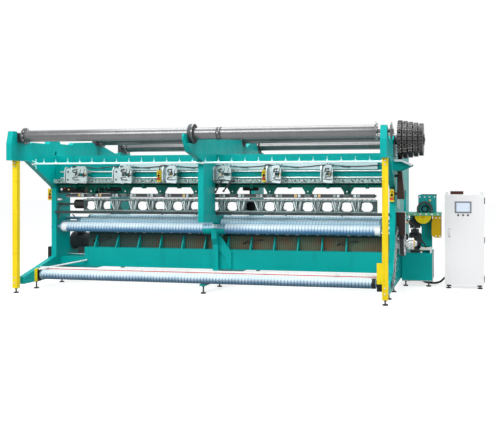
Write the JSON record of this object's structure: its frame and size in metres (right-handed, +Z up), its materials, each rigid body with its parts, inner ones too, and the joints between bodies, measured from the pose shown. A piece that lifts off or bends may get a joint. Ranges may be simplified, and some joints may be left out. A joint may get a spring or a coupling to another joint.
{
  "type": "warp knitting machine",
  "caption": "Wide warp knitting machine with overhead warp beams, a knitting head, take-up rollers, a cloth roll, an end drive and a standing control cabinet.",
  "frame": {"origin": "on the floor under the front levelling foot of the middle frame, midway between the end frames", "axes": "+X along the machine toward the end drive and the control cabinet, -Y toward the operator, +Z up"},
  "size_m": [7.131, 4.125, 2.6175],
  "materials": {
    "teal_paint": "satin teal enamel",
    "yellow_paint": "gloss yellow enamel",
    "zinc_feet": "zinc plated",
    "gunmetal_tube": "dark satin tube",
    "cast_block": "painted dark casting",
    "pale_rail": "pale cyan coated",
    "pale_sheet": "pale blue sheet",
    "bright_rod": "ground and chromed",
    "silver_casting": "machined casting",
    "dark_green_paint": "dark green enamel",
    "bar_alloy": "anodised bar",
    "arm_casting": "dark machined casting",
    "bright_steel": "bright steel",
    "net_on_roller": "steel roller under pale net",
    "net_on_roll": "wound pale net",
    "chain_steel": "oiled chain",
    "white_paint": "white enamel",
    "brown_sheet": "oily brown sheet",
    "dark_plastic": "dark moulded grip",
    "motor_grey": "dark grey enamel",
    "box_black": "black enamel",
    "red_plastic": "red moulded",
    "green_plastic": "green moulded",
    "amber_plastic": "amber moulded",
    "cable_black": "matt black jacket",
    "drum_steel": "turned steel",
    "belt_rubber": "matt flat belt",
    "cabinet_white": "pale powder coat",
    "screen_face": "grey bezel round a pale screen"
  },
  "bodies": {
    "machine": {"air_cylinder": "bright_steel", "beam_bearings": "cast_block", "bolt_rail": "dark_green_paint", "button_boxes": "yellow_paint", "cabinet_shell": "cabinet_white", "drive_base": "teal_paint", "drive_belt": "belt_rubber", "drive_guards": "yellow_paint", "drive_table": "teal_paint", "front_posts": "yellow_paint", "gearbox": "cast_block", "head_cable": "cable_black", "head_cover": "pale_sheet", "head_rods": "bright_rod", "left_frame": "teal_paint", "levelling_feet": "zinc_feet", "lower_beams": "teal_paint", "main_motor": "motor_grey", "middle_frame": "teal_paint", "pattern_bracket": "teal_paint", "rear_beams": "teal_paint", "right_frame": "teal_paint", "rod_brackets": "silver_casting", "roll_chain": "chain_steel", "roll_drive_box": "box_black", "roll_holders": "yellow_paint", "side_guards": "box_black", "spreader_bar": "white_paint", "take_up_motor": "motor_grey", "thread_rail": "pale_rail", "trick_plate": "bright_steel", "trough_covers": "brown_sheet", "upper_beams": "teal_paint"},
    "front_beam": {"front_warp_beam": "gunmetal_tube"},
    "middle_beam": {"middle_warp_beam": "gunmetal_tube"},
    "rear_beam": {"rear_warp_beam": "gunmetal_tube"},
    "swing_frame": {"hanger_arms": "dark_green_paint"},
    "front_bar": {"front_guide_bar": "bar_alloy"},
    "rear_bar": {"rear_guide_bar": "bar_alloy"},
    "needle_carrier": {"needle_arms": "arm_casting", "needle_bar": "bright_steel"},
    "drive_shaft": {"main_shaft": "bright_steel"},
    "motor_rotor": {"motor_pulley": "bright_steel"},
    "drum": {"pattern_drum": "drum_steel", "pattern_chains": "chain_steel"},
    "lower_roll": {"lower_roller": "net_on_roller"},
    "middle_roll": {"middle_roller": "net_on_roller"},
    "upper_roll": {"upper_roller": "net_on_roller"},
    "wound_roll": {"cloth_roll": "net_on_roll"},
    "wheel": {"handwheel": "dark_plastic"},
    "left_stop": {"left_stop_button": "red_plastic"},
    "head_left": {"head_left_button": "green_plastic"},
    "head_right": {"head_right_button": "green_plastic"},
    "right_stop": {"right_stop_button": "red_plastic"},
    "door": {"cabinet_door": "cabinet_white", "touch_screen": "screen_face"},
    "door_lock": {"lock_handle": "bright_steel"},
    "panel_left": {"cabinet_left_button": "green_plastic"},
    "panel_middle": {"cabinet_middle_button": "amber_plastic"},
    "panel_right": {"cabinet_right_button": "red_plastic"}
  },
  "joints": [
    {"name": "front_beam_spin", "type": "hinge", "parent": "machine", "child": "front_beam", "pos_m": [0, -0.5, 2.396], "axis": [1, 0, 0], "continuous": true},
    {"name": "middle_beam_spin", "type": "hinge", "parent": "machine", "child": "middle_beam", "pos_m": [0, 2, 2.474], "axis": [1, 0, 0], "continuous": true},
    {"name": "rear_beam_spin", "type": "hinge", "parent": "machine", "child": "rear_beam", "pos_m": [0, 3.05, 2.392], "axis": [1, 0, 0], "continuous": true},
    {"name": "guide_bar_swing", "type": "hinge", "parent": "machine", "child": "swing_frame", "pos_m": [0, 0.56, 1.638], "axis": [1, 0, 0], "range_deg": [-3, 3]},
    {"name": "front_guide_bar_shog", "type": "slide", "parent": "swing_frame", "child": "front_bar", "axis": [1, 0, 0], "range_m": [-0.02, 0.02]},
    {"name": "rear_guide_bar_shog", "type": "slide", "parent": "swing_frame", "child": "rear_bar", "axis": [1, 0, 0], "range_m": [-0.02, 0.02]},
    {"name": "needle_lift", "type": "slide", "parent": "machine", "child": "needle_carrier", "axis": [0, 0, 1], "range_m": [0, 0.014]},
    {"name": "main_shaft_spin", "type": "hinge", "parent": "machine", "child": "drive_shaft", "pos_m": [0, 0.945, 0.74], "axis": [1, 0, 0], "continuous": true},
    {"name": "motor_spin", "type": "hinge", "parent": "machine", "child": "motor_rotor", "pos_m": [0, 1.65, 0.735], "axis": [1, 0, 0], "continuous": true},
    {"name": "pattern_drum_spin", "type": "hinge", "parent": "machine", "child": "drum", "pos_m": [0, 0.45, 2.325], "axis": [1, 0, 0], "continuous": true},
    {"name": "lower_roller_spin", "type": "hinge", "parent": "machine", "child": "lower_roll", "pos_m": [0, 0.585, 0.955], "axis": [1, 0, 0], "continuous": true},
    {"name": "middle_roller_spin", "type": "hinge", "parent": "machine", "child": "middle_roll", "pos_m": [0, 0.705, 1.035], "axis": [1, 0, 0], "continuous": true},
    {"name": "upper_roller_spin", "type": "hinge", "parent": "machine", "child": "upper_roll", "pos_m": [0, 0.845, 1.09], "axis": [1, 0, 0], "continuous": true},
    {"name": "cloth_roll_spin", "type": "hinge", "parent": "machine", "child": "wound_roll", "pos_m": [0, -0.05, 0.228], "axis": [1, 0, 0], "continuous": true},
    {"name": "handwheel_spin", "type": "hinge", "parent": "machine", "child": "wheel", "pos_m": [0, 0.6, 1.335], "axis": [1, 0, 0], "continuous": true},
    {"name": "left_stop_push", "type": "slide", "parent": "machine", "child": "left_stop", "axis": [0, 1, 0], "range_m": [0, 0.004], "stiffness_N_per_m": 600, "springref_m": -0.001},
    {"name": "head_left_push", "type": "slide", "parent": "machine", "child": "head_left", "axis": [0, 1, 0], "range_m": [0, 0.004], "stiffness_N_per_m": 600, "springref_m": -0.001},
    {"name": "head_right_push", "type": "slide", "parent": "machine", "child": "head_right", "axis": [0, 1, 0], "range_m": [0, 0.004], "stiffness_N_per_m": 600, "springref_m": -0.001},
    {"name": "right_stop_push", "type": "slide", "parent": "machine", "child": "right_stop", "axis": [0, 1, 0], "range_m": [0, 0.004], "stiffness_N_per_m": 600, "springref_m": -0.001},
    {"name": "cabinet_door_hinge", "type": "hinge", "parent": "machine", "child": "door", "pos_m": [4.188, 1.358, 0.78], "axis": [0, 0, 1], "range_deg": [0, 110]},
    {"name": "door_lock_turn", "type": "hinge", "parent": "door", "child": "door_lock", "pos_m": [3.64, 1.342, 0.929], "axis": [0, -1, 0], "range_deg": [0, 90]},
    {"name": "panel_left_push", "type": "slide", "parent": "door", "child": "panel_left", "axis": [0, 1, 0], "range_m": [0, 0.004], "stiffness_N_per_m": 600, "springref_m": -0.001},
    {"name": "panel_middle_push", "type": "slide", "parent": "door", "child": "panel_middle", "axis": [0, 1, 0], "range_m": [0, 0.004], "stiffness_N_per_m": 600, "springref_m": -0.001},
    {"name": "panel_right_push", "type": "slide", "parent": "door", "child": "panel_right", "axis": [0, 1, 0], "range_m": [0, 0.004], "stiffness_N_per_m": 600, "springref_m": -0.001}
  ],
  "couplings": [
    {"joint": "motor_spin", "follows": "main_shaft_spin", "ratio": 2.375},
    {"joint": "pattern_drum_spin", "follows": "main_shaft_spin", "ratio": 0.0625},
    {"joint": "middle_roller_spin", "follows": "lower_roller_spin", "ratio": -1.1692},
    {"joint": "upper_roller_spin", "follows": "lower_roller_spin", "ratio": 1.1692},
    {"joint": "cloth_roll_spin", "follows": "lower_roller_spin", "ratio": 1}
  ]
}
